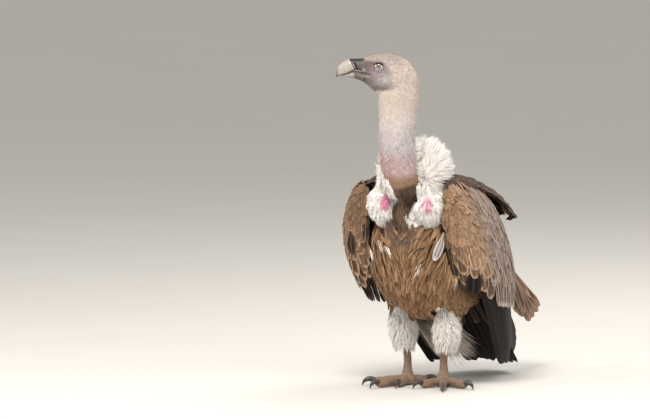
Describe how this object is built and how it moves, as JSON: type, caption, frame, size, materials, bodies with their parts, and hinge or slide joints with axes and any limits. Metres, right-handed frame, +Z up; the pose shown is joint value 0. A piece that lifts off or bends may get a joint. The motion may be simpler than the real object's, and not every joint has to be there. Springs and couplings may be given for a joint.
{
  "type": "griffon vulture figure",
  "caption": "Life-size still griffon vulture, standing on both feet with folded wings, its neck up and its head turned to its right.",
  "frame": {"origin": "on the floor under the middle of the bird's box, between and behind its feet", "axes": "+Z up, -Y the way the bird's body faces, +X the bird's left"},
  "size_m": [0.3408, 0.5816, 0.7401],
  "materials": {
    "body_plumage": "brown feathered flesh, matte",
    "back_plumage": "brown feathers, matte",
    "head_down": "flesh under short cream down, matte",
    "crop_plumage": "flesh under short dark brown feathers, matte",
    "white_down": "loose white down, matte",
    "wing_coverts": "grey-brown feathers with pale edges, matte",
    "tertials": "red-brown feathers with pale edges, matte",
    "flight_feathers": "blackish flight feathers, satin",
    "cere": "dark grey bare skin, satin",
    "bill_horn": "pale horn, polished",
    "eye": "amber iris under a wet clear cornea",
    "leg_skin": "grey-brown scaled skin, satin",
    "claw_horn": "blackish horn, satin"
  },
  "bodies": {
    "root": {"trunk": "body_plumage", "rump": "back_plumage", "head": "head_down", "neck_upper": "head_down", "neck_lower": "head_down", "cere": "cere", "bill_upper": "bill_horn", "bill_lower": "bill_horn", "eye_left": "eye", "eye_right": "eye", "ruff": "white_down", "crop": "crop_plumage", "tail": "flight_feathers", "wing_left_coverts": "wing_coverts", "wing_left_scapulars": "back_plumage", "shoulder_patch_left": "white_down", "wing_left_secondaries": "flight_feathers", "wing_left_tertials": "tertials", "wing_left_primaries": "flight_feathers", "leg_left_thigh": "back_plumage", "leg_left_sock": "white_down", "leg_left_tarsus": "leg_skin", "toe_left_inner": "leg_skin", "claw_left_inner": "claw_horn", "toe_left_middle": "leg_skin", "claw_left_middle": "claw_horn", "toe_left_outer": "leg_skin", "claw_left_outer": "claw_horn", "toe_left_hind": "leg_skin", "claw_left_hind": "claw_horn", "wing_right_coverts": "wing_coverts", "wing_right_scapulars": "back_plumage", "shoulder_patch_right": "white_down", "wing_right_secondaries": "flight_feathers", "wing_right_tertials": "tertials", "wing_right_primaries": "flight_feathers", "leg_right_thigh": "back_plumage", "leg_right_sock": "white_down", "leg_right_tarsus": "leg_skin", "toe_right_inner": "leg_skin", "claw_right_inner": "claw_horn", "toe_right_middle": "leg_skin", "claw_right_middle": "claw_horn", "toe_right_outer": "leg_skin", "claw_right_outer": "claw_horn", "toe_right_hind": "leg_skin", "claw_right_hind": "claw_horn"}
  },
  "joints": []
}
